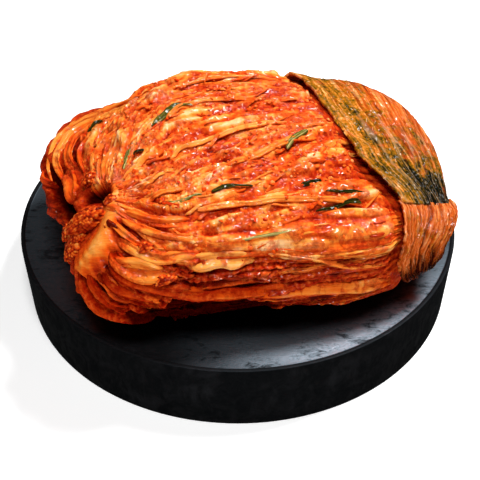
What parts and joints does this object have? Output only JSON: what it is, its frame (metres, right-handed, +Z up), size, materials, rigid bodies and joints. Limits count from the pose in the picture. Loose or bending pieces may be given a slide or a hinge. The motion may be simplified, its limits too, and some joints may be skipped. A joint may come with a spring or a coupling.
{
  "type": "cabbage kimchi on a plate",
  "caption": "Half head of cabbage kimchi, folded into a loaf with its green outer leaf round one end, on a thick round black serving plate.",
  "frame": {"origin": "middle of the plate's underside, on the surface it stands on", "axes": "+Z up; +X along the loaf, from the stem end to the folded green end; +Y from the front of the cut face to the back"},
  "size_m": [0.24, 0.24, 0.1207],
  "materials": {
    "plate_black": "satin black stain with a brushed top",
    "seasoned_cabbage": "wet, glossy, orange red",
    "green_leaf": "wet, olive and yellow green stained with orange",
    "end_leaf": "wet, pale orange with brown orange fibres",
    "green_strip": "wet, dark green"
  },
  "bodies": {
    "root": {"plate": "plate_black", "cabbage_head": "seasoned_cabbage", "green_leaf": "green_leaf", "end_leaf": "end_leaf", "green_strip_1": "green_strip", "green_strip_2": "green_strip", "green_strip_3": "green_strip", "green_strip_4": "green_strip", "green_strip_5": "green_strip", "green_strip_6": "green_strip", "green_strip_7": "green_strip", "green_strip_8": "green_strip", "green_strip_9": "green_strip", "green_strip_10": "green_strip", "green_strip_11": "green_strip"}
  },
  "joints": []
}
